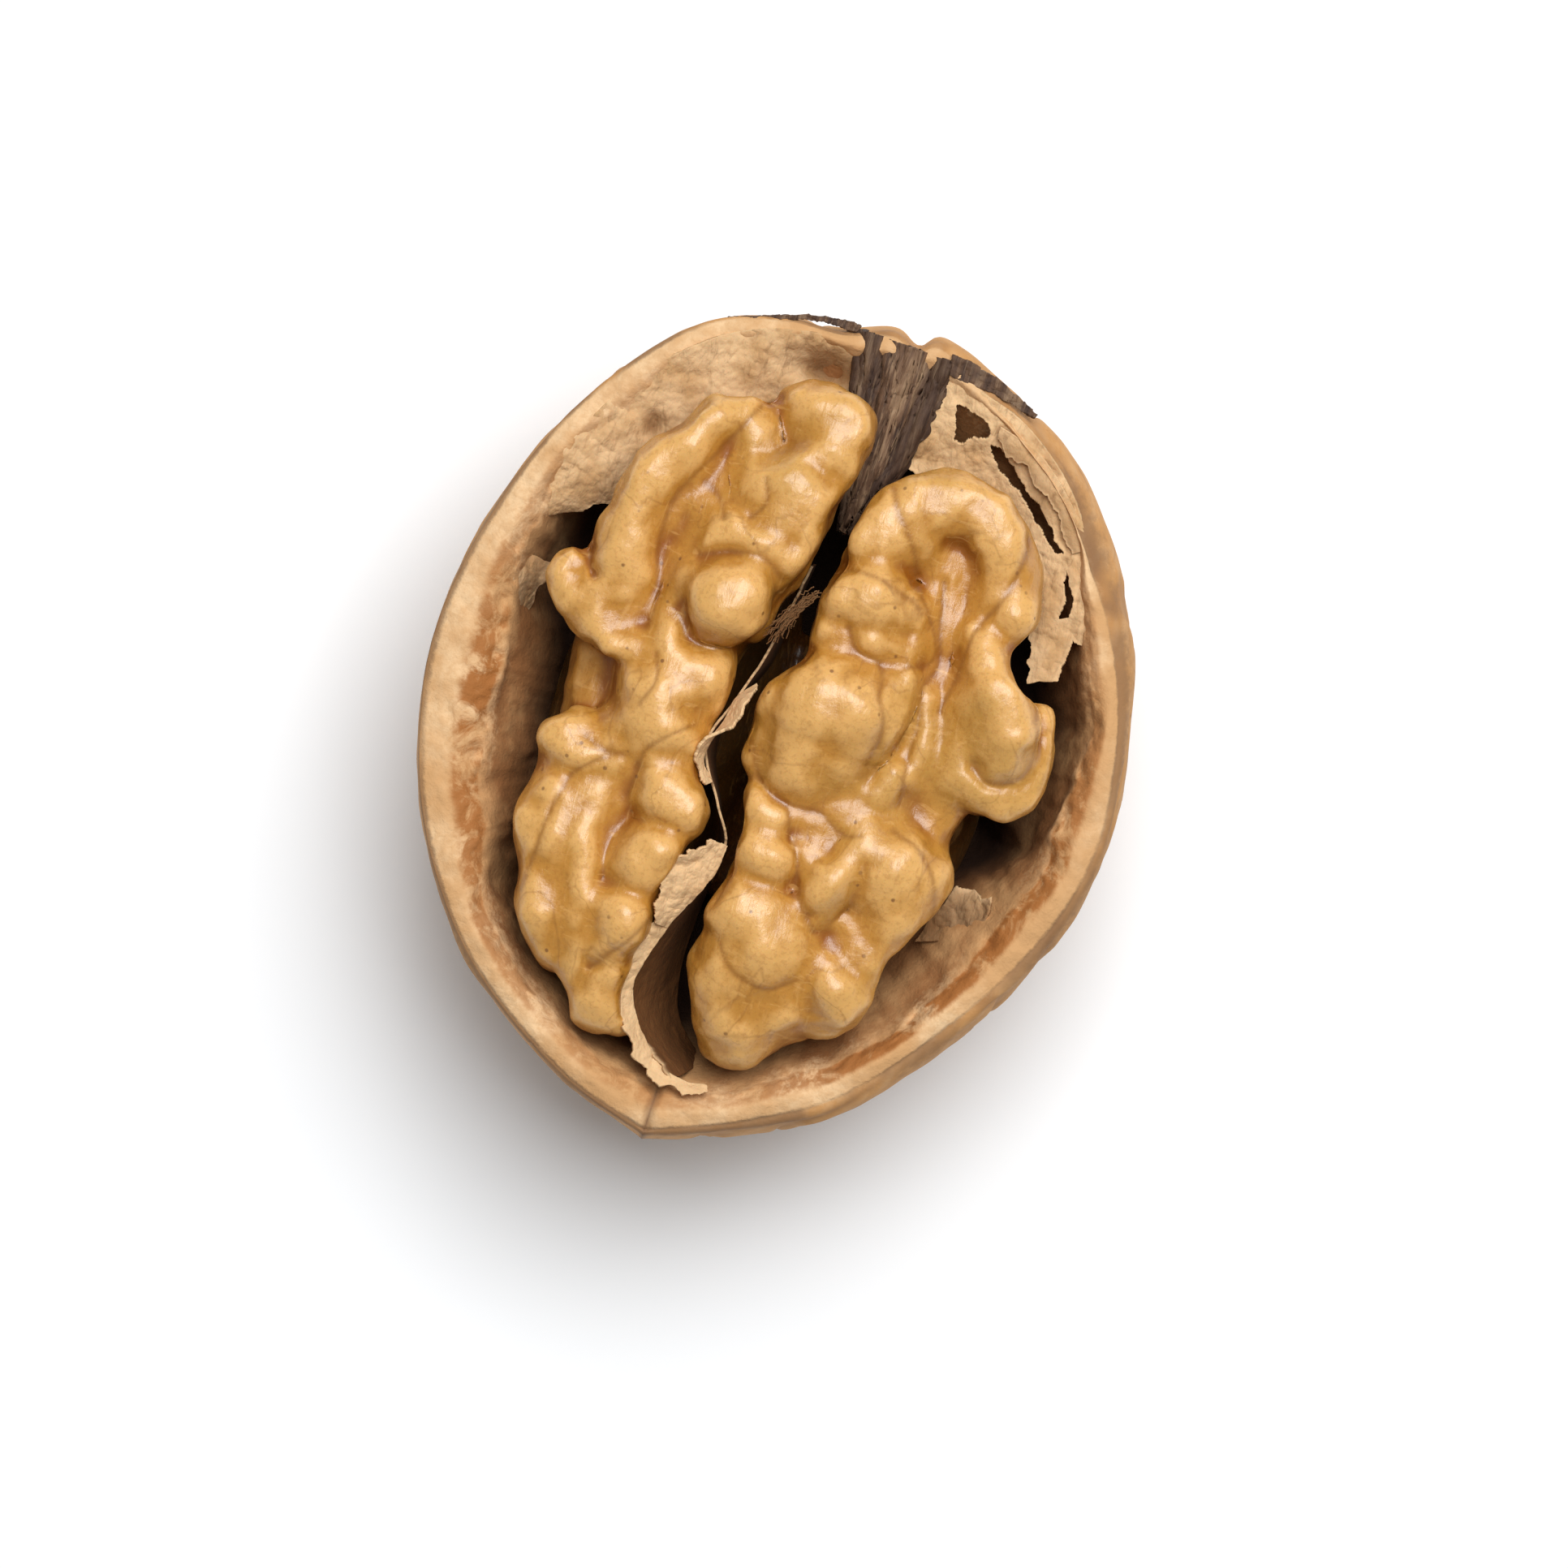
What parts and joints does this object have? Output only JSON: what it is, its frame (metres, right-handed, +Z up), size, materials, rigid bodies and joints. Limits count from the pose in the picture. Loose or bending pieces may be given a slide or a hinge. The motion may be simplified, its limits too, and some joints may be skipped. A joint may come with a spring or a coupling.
{
  "type": "walnut in its half shell",
  "caption": "Ripe walnut opened along its seam: a woody half shell cradling the folded, two-lobed kernel, with torn papery partition and dark stem fibres.",
  "frame": {"origin": "middle of the bounding box seen from above, on the small flat spot under the shell", "axes": "+Z up out of the open shell; +Y along the nut from its pointed tip to the stem end; +X to the right of that"},
  "size_m": [0.0348, 0.042, 0.0229],
  "materials": {
    "shell_wood": "matte",
    "kernel_skin": "satin",
    "partition_paper": "matte",
    "stem_fibre": "matte"
  },
  "bodies": {
    "root": {"half_shell": "shell_wood", "kernel": "kernel_skin", "partition_middle": "partition_paper", "partition_left": "partition_paper", "partition_right": "partition_paper", "stem_fibres": "stem_fibre"}
  },
  "joints": []
}
